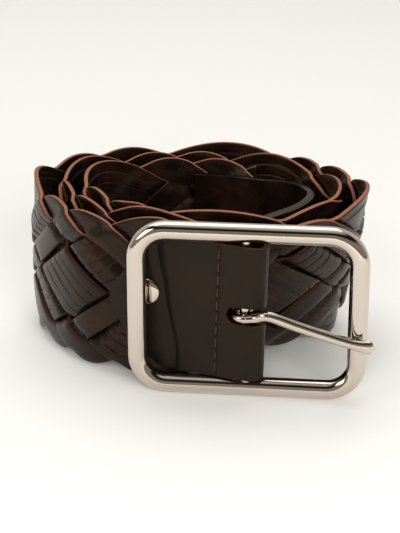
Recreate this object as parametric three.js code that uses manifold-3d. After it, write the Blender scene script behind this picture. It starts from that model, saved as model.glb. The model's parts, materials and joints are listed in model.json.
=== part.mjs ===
// A braided leather belt, coiled up and standing on its edge, with its buckle in front.
// Six flat leather strands, two wide and four narrow, are plaited over one and under one.
// Millimetres, +Z up. The origin is on the floor, under the middle of the whole belt.
import * as THREE from 'three';
import { mergeVertices } from 'three/addons/utils/BufferGeometryUtils.js';
import Module from 'manifold-3d';

const wasm = await Module();
wasm.setup();

// Leather
const strandThickness = 1.8;
const strapThickness = 1.8;
const billetThickness = 2.8;
const clearance = 0.35;

// Braid: crestSpacing is the length of belt from one wide crest to the next wide crest
const beltHeight = 62;
const crestSpacing = 79.5;
const braidStart = 8;
const braidEnd = 733;
const firstCrest = 28;
const strandLift = 1.7;
const edgeMargin = 0.3;
const longestStep = 10;
const facetDepth = 0.18;
const lineSpacing = 9;
const leastStep = 0.01;
const wideStrand = { width: 19, crest: beltHeight / 2, sharpness: 0.06 };
const narrowStrand = { width: 7.5, crest: 28.5, sharpness: 0.1 };
const narrowLead = 30.1;
const squeezeLength = 25;
const squeezedShare = 0.74;

// Coil
const coilWidth = 130;
const coilDepth = 87;
const coilCentreBack = 10;
const outwardLean = 22;
const barAcross = 16.1;
const barBack = -54.5;
const strapTurn = 22;
const strapLength = 50;
const billetLength = 88;
const billetHeight = 48;

// Buckle
const frameWidth = 84;
const frameHeight = 64;
const frameRod = 6.9;
const frameCorner = 14;
const frameTurn = -6.5;
const barRod = 5;
const prongRod = 3.8;
const prongHump = 2.6;
const prongDrop = 7.8;
const prongTip = 5;
const prongOverhang = 2.6;
const prongSag = 1.5;

// Strap fold, tab and rivets
const strapGap = 0.5;
const strapHeight = frameHeight - 2 * frameRod - 2 * strapGap;
const leafGap = 5.5;
const foldReach = 3;
const tabLength = 26;
const tabPoint = 4;
const slotSpare = 2.4;
const slotHeight = prongRod + 2 * slotSpare;
const slotReach = 7;
const rivetAlong = 36.5;
const rivetLift = 5;
const rivetHead = 9.4;
const rivetPost = 3;
const rivetDome = 1.2;
const billetHoleSpacing = 18;
const billetHole = 4;
const billetHoles = 4;
const billetTipLength = 14;
const billetLap = 24;
const billetSet = 4;
const billetReturn = 9;

const midHeight = beltHeight / 2;
const frameMiddle = frameHeight / 2;
const strapRise = frameMiddle - midHeight;
const radians = THREE.MathUtils.degToRad;

const colours = { braid: 0x33241f, strap: 0x2b2725, chrome: 0xd9d5cf, rivet: 0xc9c4bb, billet: 0x33241f };
const leather = (colour) => new THREE.MeshStandardMaterial({ color: colour, roughness: 0.5, metalness: 0 });
const metal = (colour) => new THREE.MeshStandardMaterial({ color: colour, roughness: 0.15, metalness: 1 });

// The coil's plan, a row for each direction, clockwise from the left of the front.
// way: the direction outwards; across, back: the outer turn, as shares of the coil's size;
// second, third: how far inwards the later turns lie, in braid thicknesses.
// A row with second 0 is the front run, where the outer turn has left for the buckle.
// A row with third 0 isn't needed by the third turn, whose bend is short.
const braidThickness = 2 * strandLift + strandThickness;
const coilRows = [
  { way: -140, across: -0.318, back: -0.47, second: 2.05, third: 3.5 },
  { way: -150, across: -0.385, back: -0.34, second: 1.75, third: 3.35 },
  { way: -158, across: -0.445, back: -0.19, second: 1.75, third: 3.45 },
  { way: -172, across: -0.484, back: -0.036, second: 1.85, third: 3.6 },
  { way: 172, across: -0.488, back: 0.119, second: 1.95, third: 3.8 },
  { way: 150, across: -0.432, back: 0.286, second: 1.95, third: 3.8 },
  { way: 126, across: -0.327, back: 0.412, second: 1.95, third: 3.75 },
  { way: 104, across: -0.173, back: 0.487, second: 1.7, third: 3.35 },
  { way: 88, across: 0, back: 0.5, second: 1.65, third: 3.35 },
  { way: 70, across: 0.157, back: 0.454, second: 1.7, third: 3.4 },
  { way: 56, across: 0.287, back: 0.35, second: 1.65, third: 3.3 },
  { way: 38, across: 0.378, back: 0.21, second: 1.65, third: 3.3 },
  { way: 10, across: 0.41, back: 0.055, second: 1.75, third: 3.65 },
  { way: -22, across: 0.4, back: -0.075, second: 1.75, third: 0 },
  { way: -50, across: 0.35, back: -0.175, second: 1.6, third: 3.3 },
  { way: -62, across: 0.275, back: -0.25, second: 1.45, third: 2.95 },
  { way: -67, across: 0.185, back: -0.32, second: 0, third: 1.5 },
  { way: -74, across: 0.07, back: -0.395, second: 0, third: 1.55 },
  { way: -92, across: -0.065, back: -0.445, second: 0, third: 1.65 },
  { way: -120, across: -0.195, back: -0.385, second: 0, third: 1.5 },
];
const tailInset = 1.45;

// Where the lean starts and ends: along the belt in mm, and across and back as shares of the coil
const leanFrom = 150;
const leanEase = 70;
const leanAcross = { none: -0.29, full: 0.23 };
const leanBack = { full: -0.35, none: 0.35 };

function coilPoint(row, thicknesses) {
  const way = radians(row.way);
  const inset = thicknesses * braidThickness;
  const across = row.across * coilWidth - inset * Math.cos(way);
  const back = coilCentreBack + row.back * coilDepth - inset * Math.sin(way);
  return new THREE.Vector2(across, back);
}

function routePoints() {
  const heading = new THREE.Vector2(-Math.cos(radians(strapTurn)), Math.sin(radians(strapTurn)));
  const points = [0, 1, 2, 3].map((step) =>
    new THREE.Vector2(barAcross, barBack).addScaledVector(heading, (strapLength * step) / 3));
  const sides = coilRows.filter((row) => row.second > 0);
  const front = coilRows.filter((row) => row.second === 0);
  sides.forEach((row) => points.push(coilPoint(row, 0)));
  front.forEach((row) => points.push(coilPoint(row, 0)));
  sides.forEach((row) => points.push(coilPoint(row, row.second)));
  front.forEach((row) => points.push(coilPoint(row, row.third)));
  const inner = sides.filter((row) => row.third > 0);
  inner.forEach((row) => points.push(coilPoint(row, row.third)));
  front.forEach((row) => points.push(coilPoint(row, row.third + tailInset)));
  return points;
}

// A uniform cubic B-spline: it bends evenly, as thick leather does.
class BeltRoute extends THREE.Curve {
  constructor(points) {
    super();
    const last = points.length - 1;
    const before = points[0].clone().multiplyScalar(2).sub(points[1]);
    const after = points[last].clone().multiplyScalar(2).sub(points[last - 1]);
    this.controls = [before, ...points, after];
    this.arcLengthDivisions = 4000;
  }

  getPoint(share, target = new THREE.Vector2()) {
    const spans = this.controls.length - 3;
    const span = Math.min(Math.floor(share * spans), spans - 1);
    const t = share * spans - span;
    const weights = [(1 - t) ** 3, 3 * t ** 3 - 6 * t ** 2 + 4, 1 + 3 * t + 3 * t ** 2 - 3 * t ** 3, t ** 3];
    target.set(0, 0);
    weights.forEach((weight, n) => target.addScaledVector(this.controls[span + n], weight / 6));
    return target;
  }
}

const route = new BeltRoute(routePoints());
const routeLength = route.getLength();

// The coil's front and right walls lean outwards, towards the strap that they rest against.
function leanAt(along, across, back) {
  const { smoothstep } = THREE.MathUtils;
  const toRight = smoothstep(across / coilWidth, leanAcross.none, leanAcross.full);
  const toBack = smoothstep((back - coilCentreBack) / coilDepth, leanBack.full, leanBack.none);
  const later = smoothstep(along, leanFrom, leanFrom + leanEase);
  return radians(outwardLean) * toRight * (1 - toBack) * later;
}

// A place on the belt: along it from the bar, up from its middle and out from its centre plane.
// Before the bar the belt goes on straight. A leaning wall turns about its foot on the floor.
function onBelt(along, up, out) {
  const share = THREE.MathUtils.clamp(along / routeLength, 0, 1);
  const point = route.getPointAt(share);
  const beyond = along - share * routeLength;
  const step = 0.0002;
  const ahead = route.getPointAt(Math.min(share + step, 1));
  const behind = route.getPointAt(Math.max(share - step, 0));
  const heading = ahead.sub(behind).normalize();
  point.addScaledVector(heading, beyond);
  const lean = leanAt(along, point.x, point.y);
  const height = midHeight + up;
  const aside = out * Math.cos(lean) + height * Math.sin(lean);
  const level = height * Math.cos(lean) + (braidThickness / 2 - out) * Math.sin(lean);
  return [point.x - heading.y * aside, point.y + heading.x * aside, level];
}

// The longest step along the belt that keeps a straight facet near the bent leather.
function stepAt(along) {
  const probe = 4;
  const [a, b, c] = [-probe, 0, probe].map((shift) => new THREE.Vector3(...onBelt(along + shift, 0, 0)));
  const turn = b.clone().sub(a).angleTo(c.clone().sub(b));
  const radius = probe / Math.max(turn, 0.01);
  return Math.min(longestStep, Math.sqrt(8 * radius * facetDepth));
}

// Closed meshes

function closedGeometry(positions, indices) {
  const geometry = new THREE.BufferGeometry();
  geometry.setAttribute('position', new THREE.Float32BufferAttribute(positions.flat(), 3));
  geometry.setIndex(indices);
  return geometry;
}

// Rings of the same number of points, skinned and capped at both ends.
function skin(rings) {
  const size = rings[0].length;
  const indices = [];
  for (let r = 0; r + 1 < rings.length; r += 1) {
    for (let k = 0; k < size; k += 1) {
      const a = r * size + k;
      const b = r * size + ((k + 1) % size);
      indices.push(a, b, b + size, a, b + size, a + size);
    }
  }
  const last = (rings.length - 1) * size;
  for (let k = 1; k < size / 2; k += 1) {
    const low = k - 1;
    const high = size - k;
    indices.push(low, high, high - 1, low, high - 1, low + 1);
    indices.push(last + low, last + high - 1, last + high, last + low, last + low + 1, last + high - 1);
  }
  return closedGeometry(rings.flat(), indices);
}

function toSolid(geometry) {
  const bare = geometry.clone();
  bare.deleteAttribute('normal');
  bare.deleteAttribute('uv');
  const merged = mergeVertices(bare, 1e-5);
  const triVerts = new Uint32Array(merged.index.array);
  const vertProperties = new Float32Array(merged.attributes.position.array);
  return new wasm.Manifold(new wasm.Mesh({ numProp: 3, vertProperties, triVerts }));
}

function toGeometry(solid) {
  const { vertProperties, triVerts } = solid.getMesh();
  const geometry = new THREE.BufferGeometry();
  geometry.setAttribute('position', new THREE.BufferAttribute(new Float32Array(vertProperties), 3));
  geometry.setIndex(new THREE.BufferAttribute(new Uint32Array(triVerts), 1));
  return geometry;
}

function part(name, geometry, material) {
  const shown = geometry.toNonIndexed();
  shown.computeVertexNormals();
  const mesh = new THREE.Mesh(shown, material);
  mesh.name = name;
  return mesh;
}

// A round bar across the belt's thickness, for the holes and the rivets that pass through it.
function crossBar(along, up, radius, from, to) {
  const bar = new THREE.CylinderGeometry(radius, radius, to - from, 10);
  const start = new THREE.Vector3(...onBelt(along, up, from));
  const end = new THREE.Vector3(...onBelt(along, up, to));
  const way = end.clone().sub(start).normalize();
  bar.applyQuaternion(new THREE.Quaternion().setFromUnitVectors(new THREE.Vector3(0, 1, 0), way));
  const middle = start.add(end).multiplyScalar(0.5);
  bar.translate(middle.x, middle.y, middle.z);
  return bar;
}

const leafMiddle = (leafGap + strapThickness) / 2;
const farOut = leafMiddle + strapThickness / 2;
const billetRivet = braidEnd - 12;
const rivetHole = (along, up, reach) =>
  toSolid(crossBar(along, up, rivetPost / 2 + clearance, -reach, reach));

const rivetHoles = [rivetHole(rivetAlong, rivetLift, farOut + 2), rivetHole(billetRivet, 0, farOut + 2)];

// Braid: strands in the order of their crests
const narrowLeads = [0, narrowLead, crestSpacing - narrowLead];
const strands = [0, 1, 2, 3, 4, 5].map((order) => {
  const kind = order % 3 === 0 ? wideStrand : narrowStrand;
  const crestAt = firstCrest + Math.floor(order / 3) * crestSpacing + narrowLeads[order % 3];
  return { ...kind, order, crestAt, reach: kind.crest - kind.width / 2 };
});

// Height of a strand's middle and its slope, at a place along the flat belt.
function wave(strand, along) {
  const turn = Math.PI / crestSpacing;
  const phase = turn * (along - strand.crestAt);
  const scale = strand.reach / (1 + strand.sharpness);
  const up = scale * (Math.cos(phase) + strand.sharpness * Math.cos(3 * phase));
  const slope = -scale * turn * (Math.sin(phase) + 3 * strand.sharpness * Math.sin(3 * phase));
  return { up, slope };
}

// A point of the flat strand, with its distance across from the strand's middle.
function strandPoint(strand, along, across) {
  const { up, slope } = wave(strand, along);
  const length = Math.hypot(1, slope);
  return { along: along - (across * slope) / length, up: up + across / length };
}

function distanceTo(strand, point) {
  let along = point.along;
  for (let turn = 0; turn < 8; turn += 1) {
    const { up, slope } = wave(strand, along);
    along += (point.along - along + (point.up - up) * slope) / (1 + slope * slope);
  }
  return Math.hypot(point.along - along, point.up - wave(strand, along).up);
}

function bisect(low, high, isLow) {
  for (let turn = 0; turn < 30; turn += 1) {
    const middle = (low + high) / 2;
    if (isLow(middle)) {
      low = middle;
    } else {
      high = middle;
    }
  }
  return (low + high) / 2;
}

// Where the strand crosses another, and on which side of it: the odd neighbours that rise
// pass outside the falling ones, and the even neighbours inside.
function crossings(strand, from, to) {
  const found = [];
  const step = 1;
  for (const other of strands) {
    const rise = (along) => wave(strand, along).up - wave(other, along).up;
    for (let along = from; other !== strand && along < to; along += step) {
      if (rise(along) > 0 !== rise(along + step) > 0) {
        const above = rise(along) > 0;
        const at = bisect(along, along + step, (x) => rise(x) > 0 === above);
        const rises = wave(strand, at).slope > wave(other, at).slope;
        const odd = (strand.order + other.order) % 2 === 1;
        found.push({ other, at, side: rises === odd ? 1 : -1 });
      }
    }
  }
  return found.sort((a, b) => a.at - b.at);
}

// The stretch of one edge or inner line of the strand that lies over or under another strand.
function stretch(strand, across, crossing) {
  const half = crossing.other.width / 2 + edgeMargin;
  const inside = (along) => distanceTo(crossing.other, strandPoint(strand, along, across)) < half;
  const step = 0.5;
  const reach = Math.ceil(crestSpacing / 2 / step);
  let middle = crossing.at;
  for (let n = 0; !inside(middle) && n < reach; n += 1) {
    middle = crossing.at + step * (n % 2 === 0 ? n / 2 + 1 : -(n + 1) / 2);
  }
  let low = middle;
  while (inside(low)) {
    low -= step;
  }
  let high = middle;
  while (inside(high)) {
    high += step;
  }
  return {
    start: bisect(low, low + step, (x) => !inside(x)),
    end: bisect(high - step, high, inside),
  };
}

function squeeze(along) {
  const share = THREE.MathUtils.smoothstep(along, braidStart, braidStart + squeezeLength);
  return THREE.MathUtils.lerp(squeezedShare, 1, share);
}

// Lines along one strand, from edge to edge: each is a list of places with the lift out of
// the belt's middle plane. Every line has as many places, so that the lines can be skinned.
function strandLines(strand, acrossAt) {
  const beyond = crestSpacing / 2;
  const zones = crossings(strand, braidStart - beyond, braidEnd + beyond).map((crossing) => ({
    lift: crossing.side * strandLift,
    spans: acrossAt.map((across) => stretch(strand, across, crossing)),
  }));
  const lines = acrossAt.map(() => []);
  const addPieces = (from, to, lowLift, highLift) => {
    const longest = Math.max(...to.map((along, n) => along - from[n]));
    const pieces = Math.max(1, Math.ceil(longest / stepAt((from[0] + to[0]) / 2)));
    for (let piece = 1; piece <= pieces; piece += 1) {
      const share = piece / pieces;
      const lift = THREE.MathUtils.lerp(lowLift, highLift, THREE.MathUtils.smoothstep(share, 0, 1));
      lines.forEach((line, n) => line.push({ along: THREE.MathUtils.lerp(from[n], to[n], share), lift }));
    }
  };
  zones.forEach((zone, z) => {
    const starts = zone.spans.map((span) => span.start);
    const ends = zone.spans.map((span) => span.end);
    if (z === 0) {
      lines.forEach((line, n) => line.push({ along: starts[n], lift: zone.lift }));
    } else {
      addPieces(zones[z - 1].spans.map((span) => span.end), starts, zones[z - 1].lift, zone.lift);
    }
    addPieces(starts, ends, zone.lift, zone.lift);
  });
  return lines;
}

function liftAt(line, along) {
  const next = line.findIndex((place) => place.along > along);
  const [low, high] = [line[next - 1], line[next]];
  return THREE.MathUtils.mapLinear(along, low.along, high.along, low.lift, high.lift);
}

// Cuts all lines of a strand off square at the braid's two ends.
function trimmed(strand, lines, acrossAt) {
  const endOf = (across, cut) =>
    bisect(cut - strand.width, cut + strand.width, (x) => strandPoint(strand, x, across).along < cut);
  const cuts = acrossAt.map((across) => [endOf(across, braidStart), endOf(across, braidEnd)]);
  const within = (n, place) => place.along > cuts[n][0] && place.along < cuts[n][1];
  const kept = lines[0].map((_, place) => lines.some((line, n) => within(n, line[place])));
  const [first, last] = [kept.indexOf(true) - 1, kept.lastIndexOf(true) + 1];
  return lines.map((line, n) => {
    const places = line.slice(first, last + 1).map((place) => {
      const along = THREE.MathUtils.clamp(place.along, cuts[n][0], cuts[n][1]);
      return { along, lift: liftAt(line, along) };
    });
    for (let p = 1; p < places.length; p += 1) {
      places[p].along = Math.max(places[p].along, places[p - 1].along + leastStep);
    }
    return places;
  });
}

function strandGeometry(strand) {
  const lineCount = Math.max(2, Math.round(strand.width / lineSpacing) + 1);
  const acrossAt = [...Array(lineCount).keys()].map((n) => strand.width * (n / (lineCount - 1) - 0.5));
  const lines = trimmed(strand, strandLines(strand, acrossAt), acrossAt);
  const rings = lines[0].map((_, place) => {
    const corner = (n, side) => {
      const { along, lift } = lines[n][place];
      const point = strandPoint(strand, along, acrossAt[n]);
      return onBelt(point.along, point.up * squeeze(point.along), lift + (side * strandThickness) / 2);
    };
    const order = [...Array(lineCount).keys()];
    return [...order.map((n) => corner(n, 1)), ...order.reverse().map((n) => corner(n, -1))];
  });
  const whole = outward(skin(rings));
  return toGeometry(rivetHoles.reduce((solid, hole) => solid.subtract(hole), toSolid(whole)));
}

// Turns a closed geometry's faces outwards where they point in.
function outward(geometry) {
  const place = geometry.attributes.position;
  const index = geometry.index.array;
  const [a, b, c] = [new THREE.Vector3(), new THREE.Vector3(), new THREE.Vector3()];
  let volume = 0;
  for (let n = 0; n < index.length; n += 3) {
    a.fromBufferAttribute(place, index[n]);
    b.fromBufferAttribute(place, index[n + 1]);
    c.fromBufferAttribute(place, index[n + 2]);
    volume += a.dot(b.cross(c));
  }
  if (volume < 0) {
    geometry.setIndex(Array.from(index).reverse());
  }
  return geometry;
}

// Strap: one piece of leather from behind the braid, round the buckle's bar and over the front.

// The front leaf narrows to a tongue with a small round point.
function tabHalfHeight(toTip) {
  const reach = (length) => Math.sqrt(length * (length + 2 * tabPoint));
  return (strapHeight / 2) * Math.sin(((Math.PI / 2) * reach(toTip)) / reach(tabLength));
}

function strapRings() {
  const ring = (along, middleOut, outwards, height, turn) => {
    const half = strapThickness / 2;
    return [[half, height], [half, -height], [-half, -height], [-half, height]].map(([side, up]) =>
      onBelt(along - side * Math.sin(turn), up + strapRise, middleOut + side * outwards));
  };
  const rings = [];
  const half = strapHeight / 2;
  const backLeaf = rivetAlong + rivetHead / 2;
  const leafSteps = 6;
  for (let step = 0; step < leafSteps; step += 1) {
    const along = THREE.MathUtils.lerp(backLeaf, -foldReach, step / leafSteps);
    rings.push(ring(along, -leafMiddle, -1, half, 0));
  }
  const foldSteps = 10;
  for (let step = 0; step <= foldSteps; step += 1) {
    const turn = Math.PI * (step / foldSteps);
    const out = -Math.cos(turn);
    rings.push(ring(-foldReach - Math.sin(turn) * leafMiddle, out * leafMiddle, out, half, turn));
  }
  const straight = strapLength - tabLength;
  for (let step = 1; step <= leafSteps; step += 1) {
    const along = THREE.MathUtils.lerp(-foldReach, straight, step / leafSteps);
    rings.push(ring(along, leafMiddle, 1, half, 0));
  }
  const tabSteps = 12;
  for (let step = 1; step < tabSteps; step += 1) {
    const toTip = tabLength * (1 - step / tabSteps) ** 2;
    rings.push(ring(strapLength - toTip, leafMiddle, 1, tabHalfHeight(toTip), 0));
  }
  return rings;
}

function slotBlock() {
  const past = foldReach + farOut + strapThickness;
  const length = slotReach + past;
  const block = new THREE.BoxGeometry(length, 2 * (farOut + 1), slotHeight);
  block.translate(past - length / 2, 0, 0);
  block.rotateZ(-radians(strapTurn));
  block.translate(barAcross, barBack, frameMiddle);
  return toSolid(block);
}

function strapGeometry() {
  const folded = toSolid(outward(skin(strapRings())));
  return toGeometry(folded.subtract(slotBlock()).subtract(rivetHole(rivetAlong, rivetLift, farOut + 2)));
}

// Rivet: a domed head on the front, a post through both leaves and a flat head behind.
function rivetGeometry(along, up, front, back) {
  const head = rivetHead / 2;
  const post = rivetPost / 2;
  const seat = clearance;
  const profile = [
    [0, back - seat - rivetDome / 2], [head * 0.8, back - seat - rivetDome / 2], [head * 0.8, back - seat],
    [post, back - seat], [post, front + seat], [head, front + seat], [head, front + seat + rivetDome * 0.3],
    [head * 0.8, front + seat + rivetDome * 0.75], [head * 0.4, front + seat + rivetDome],
    [0, front + seat + rivetDome],
  ].map(([x, y]) => new THREE.Vector2(x, y));
  const turned = new THREE.LatheGeometry(profile, 10);
  const foot = new THREE.Vector3(...onBelt(along, up, 0));
  const way = new THREE.Vector3(...onBelt(along, up, 1)).sub(foot).normalize();
  turned.applyQuaternion(new THREE.Quaternion().setFromUnitVectors(new THREE.Vector3(0, 1, 0), way));
  turned.translate(foot.x, foot.y, foot.z);
  return outward(mergedGeometry(turned));
}

function mergedGeometry(geometry) {
  const bare = geometry.clone();
  bare.deleteAttribute('normal');
  bare.deleteAttribute('uv');
  return mergeVertices(bare, 1e-4);
}

// Billet: the plain end strap inside the coil, with a rounded tip and a row of holes.
const billetStart = braidEnd - billetLap;
const billetEnd = billetStart + billetLength;

// It lies beside the braid's end, and past it comes out to the belt's middle plane.
function billetOut(along) {
  const beside = -(braidThickness / 2 + clearance + billetThickness / 2);
  const [from, to] = [braidEnd + billetSet, braidEnd + billetSet + 2 * billetReturn];
  return THREE.MathUtils.lerp(beside, 0, THREE.MathUtils.smoothstep(along, from, to));
}

function billetGeometry() {
  const tip = billetHeight / 2;
  const rings = [];
  const add = (along, height) => {
    const half = billetThickness / 2;
    rings.push([[half, height], [half, -height], [-half, -height], [-half, height]].map(([side, up]) =>
      onBelt(along, up, billetOut(along) + side)));
  };
  const steps = 16;
  for (let step = 0; step <= steps; step += 1) {
    add(THREE.MathUtils.lerp(billetStart, billetEnd - tip, step / steps), tip);
  }
  const tipSteps = 7;
  for (let step = 1; step <= tipSteps; step += 1) {
    const turn = (Math.PI / 2) * (step / (tipSteps + 0.35));
    add(billetEnd - tip + tip * Math.sin(turn), tip * Math.cos(turn));
  }
  const holes = [rivetHole(billetRivet, 0, farOut + 2)];
  for (let hole = 0; hole < billetHoles; hole += 1) {
    const along = billetEnd - billetTipLength - hole * billetHoleSpacing;
    holes.push(toSolid(crossBar(along, 0, billetHole / 2, -farOut - 2, farOut + 2)));
  }
  return toGeometry(holes.reduce((solid, hole) => solid.subtract(hole), toSolid(outward(skin(rings)))));
}

// Buckle: a rounded rectangle of round rod with a bar down its middle, in one piece.
function frameGeometry() {
  const rod = frameRod / 2;
  const across = frameWidth / 2 - rod;
  const up = frameHeight / 2 - rod;
  const corner = frameCorner - rod;
  const corners = [[1, 1], [-1, 1], [-1, -1], [1, -1]];
  const sides = 12;
  const bend = 5;
  const centres = [];
  corners.forEach(([x, z], quarter) => {
    for (let step = 0; step <= bend; step += 1) {
      const turn = (Math.PI / 2) * (quarter + step / bend);
      centres.push({ x: x * (across - corner) + corner * Math.cos(turn),
        z: z * (up - corner) + corner * Math.sin(turn), turn });
    }
  });
  const rings = centres.map(({ x, z, turn }) => [...Array(sides).keys()].map((k) => {
    const round = (2 * Math.PI * k) / sides;
    const outside = rod * Math.cos(round);
    return [x + outside * Math.cos(turn), rod * Math.sin(round), z + outside * Math.sin(turn)];
  }));
  const indices = [];
  rings.forEach((_, r) => {
    for (let k = 0; k < sides; k += 1) {
      const next = (r + 1) % rings.length;
      const [a, b] = [r * sides + k, r * sides + ((k + 1) % sides)];
      const [c, d] = [next * sides + ((k + 1) % sides), next * sides + k];
      indices.push(a, b, c, a, c, d);
    }
  });
  const loop = toSolid(outward(closedGeometry(rings.flat(), indices)));
  const bar = new THREE.CylinderGeometry(barRod / 2, barRod / 2, 2 * up, 14);
  bar.rotateX(Math.PI / 2);
  return toGeometry(loop.add(toSolid(bar)));
}

// Prong: a ring round the bar and a shank that rests on the front of the frame's right side.
function prongGeometry() {
  const rod = prongRod / 2;
  const eye = barRod / 2 + clearance + rod;
  const round = [...Array(8).keys()].map((k) => (2 * Math.PI * k) / 8);
  const section = round.map((turn) => new THREE.Vector2(eye + rod * Math.cos(turn), rod * Math.sin(turn)));
  const ring = new THREE.LatheGeometry([...section, section[0].clone()], 16);
  ring.rotateX(Math.PI / 2);
  const rest = -(frameRod / 2 + clearance + rod);
  const side = frameWidth / 2 - frameRod / 2;
  const end = frameWidth / 2 + prongOverhang;
  const path = new THREE.CatmullRomCurve3([
    new THREE.Vector3(0, -eye, 0),
    new THREE.Vector3(side * 0.13, -eye - 0.5, prongHump * 0.35),
    new THREE.Vector3(side * 0.26, -eye - 1, prongHump),
    new THREE.Vector3(side * 0.45, -eye - 1, prongHump - prongDrop * 0.3),
    new THREE.Vector3(side * 0.75, rest - 0.2, prongHump - prongDrop * 0.9),
    new THREE.Vector3(side, rest, prongHump - prongDrop * 1.25),
    new THREE.Vector3(end, rest, prongHump - prongDrop * 1.38),
  ]);
  const steps = 13;
  const rings = [...Array(steps + 1).keys()].map((step) => {
    const share = step / steps;
    const centre = path.getPoint(share);
    const heading = path.getTangent(share);
    const across = new THREE.Vector3(0, 1, 0).addScaledVector(heading, -heading.y).normalize();
    const up = new THREE.Vector3().crossVectors(heading, across);
    const flat = THREE.MathUtils.smoothstep(share, 0.8, 0.95);
    const tall = THREE.MathUtils.lerp(rod, prongTip / 2, flat) * (step === steps ? 0.7 : 1);
    const thick = THREE.MathUtils.lerp(rod, rod * 0.85, flat) * (step === steps ? 0.7 : 1);
    return round.map((turn) => centre.clone()
      .addScaledVector(across, thick * Math.cos(turn)).addScaledVector(up, tall * Math.sin(turn)).toArray());
  });
  const shank = toSolid(outward(skin(rings)));
  return toGeometry(toSolid(outward(mergedGeometry(ring))).add(shank));
}

const belt = new THREE.Group();
strands.forEach((strand) => {
  const kind = strand.order % 3 === 0 ? 'wide' : 'narrow';
  belt.add(part(`${kind}_strand_${strand.order + 1}`, strandGeometry(strand), leather(colours.braid)));
});
belt.add(part('buckle_strap', strapGeometry(), leather(colours.strap)));
belt.add(part('strap_rivet', rivetGeometry(rivetAlong, rivetLift, farOut, -farOut), metal(colours.rivet)));
belt.add(part('billet', billetGeometry(), leather(colours.billet)));
const billetBack = -(braidThickness / 2 + clearance + billetThickness);
const billetRivetGeometry = rivetGeometry(billetRivet, 0, braidThickness / 2, billetBack);
belt.add(part('billet_rivet', billetRivetGeometry, metal(colours.rivet)));
const buckle = new THREE.Group();
buckle.add(part('buckle_frame', frameGeometry(), metal(colours.chrome)));
// The ring is loose on the bar, so the prong hangs a little below the frame's middle.
const prong = part('prong', prongGeometry(), metal(colours.chrome));
prong.position.z = -prongSag;
buckle.add(prong);
buckle.rotation.z = radians(frameTurn);
buckle.position.set(barAcross, barBack, frameMiddle);
belt.add(buckle);

// The whole belt stands on the floor, over the origin.
const box = new THREE.Box3().setFromObject(belt, true);
const middle = box.getCenter(new THREE.Vector3());
belt.position.set(-middle.x, -middle.y, -box.min.z);

export default belt;
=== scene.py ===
# A braided leather belt, coiled and standing on its edge on a pale floor, with its buckle in front.
# The camera, the floor and the lights come first, then the pieces in the order a maker joins them.
import json
import math
import random

import bmesh
import bpy
import numpy as np
from mathutils import Matrix, Vector


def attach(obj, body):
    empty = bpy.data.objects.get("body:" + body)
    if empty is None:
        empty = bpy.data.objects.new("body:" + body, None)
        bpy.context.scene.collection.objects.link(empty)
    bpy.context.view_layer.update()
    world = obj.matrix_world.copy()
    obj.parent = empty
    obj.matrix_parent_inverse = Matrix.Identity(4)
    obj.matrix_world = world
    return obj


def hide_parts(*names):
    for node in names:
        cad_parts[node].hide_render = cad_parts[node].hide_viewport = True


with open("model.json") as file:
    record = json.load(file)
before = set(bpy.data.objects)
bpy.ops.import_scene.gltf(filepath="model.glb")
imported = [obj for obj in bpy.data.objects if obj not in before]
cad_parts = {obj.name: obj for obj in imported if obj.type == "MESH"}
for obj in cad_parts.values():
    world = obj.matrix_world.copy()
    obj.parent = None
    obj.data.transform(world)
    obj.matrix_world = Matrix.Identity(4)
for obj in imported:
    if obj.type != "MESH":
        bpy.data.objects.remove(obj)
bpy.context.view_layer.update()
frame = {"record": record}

# Camera: it looks down at the coil from 21 degrees above the floor, from just over half a metre.
# Its lens and distance were worked out from the buckle's outline.
MM = 0.001
camera_pitch = math.radians(20.8)
camera_data = bpy.data.cameras.new("camera")
camera_data.lens = 104.5
camera_data.sensor_width = 36
camera = bpy.data.objects.new("camera", camera_data)
camera.location = (0.1 * MM, -544.7 * MM, 236.8 * MM)
camera.rotation_euler = (math.pi / 2 - camera_pitch, 0, 0)
bpy.context.collection.objects.link(camera)
bpy.context.scene.camera = camera
bpy.context.scene.view_settings.view_transform = "Standard"


# Floor: one seamless sheet of warm off-white paper, which runs out of the picture on all sides.
# It is matt, so the belt leaves only a soft shadow on it.
def linear(hex_code):
    shares = [int(hex_code[n : n + 2], 16) / 255 for n in (1, 3, 5)]
    return [s / 12.92 if s <= 0.04045 else ((s + 0.055) / 1.055) ** 2.4 for s in shares] + [1]


def add_node(tree, kind, settings=None, links=None):
    node = tree.nodes.new(kind)
    for name, value in (settings or {}).items():
        if isinstance(name, str) and hasattr(node, name):
            setattr(node, name, value)
        else:
            node.inputs[name].default_value = value
    for name, source in (links or {}).items():
        tree.links.new(source, node.inputs[name])
    return node


def new_material(name):
    material = bpy.data.materials.new(name)
    material.use_nodes = True
    material.node_tree.nodes.clear()
    return material


def finished(bm, name, *materials):
    mesh = bpy.data.meshes.new(name)
    bm.to_mesh(mesh)
    bm.free()
    for material in materials:
        mesh.materials.append(material)
    piece = bpy.data.objects.new(name, mesh)
    bpy.context.collection.objects.link(piece)
    return piece


paper = new_material("matt_paper")
paper_tree = paper.node_tree
paper_shader = add_node(
    paper_tree, "ShaderNodeBsdfPrincipled", {"Base Color": linear("#f8f6f2"), "Roughness": 0.9}
)
add_node(paper_tree, "ShaderNodeOutputMaterial", links={"Surface": paper_shader.outputs["BSDF"]})
floor_bm = bmesh.new()
bmesh.ops.create_grid(floor_bm, x_segments=1, y_segments=1, size=3)
floor = finished(floor_bm, "floor", paper)

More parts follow.
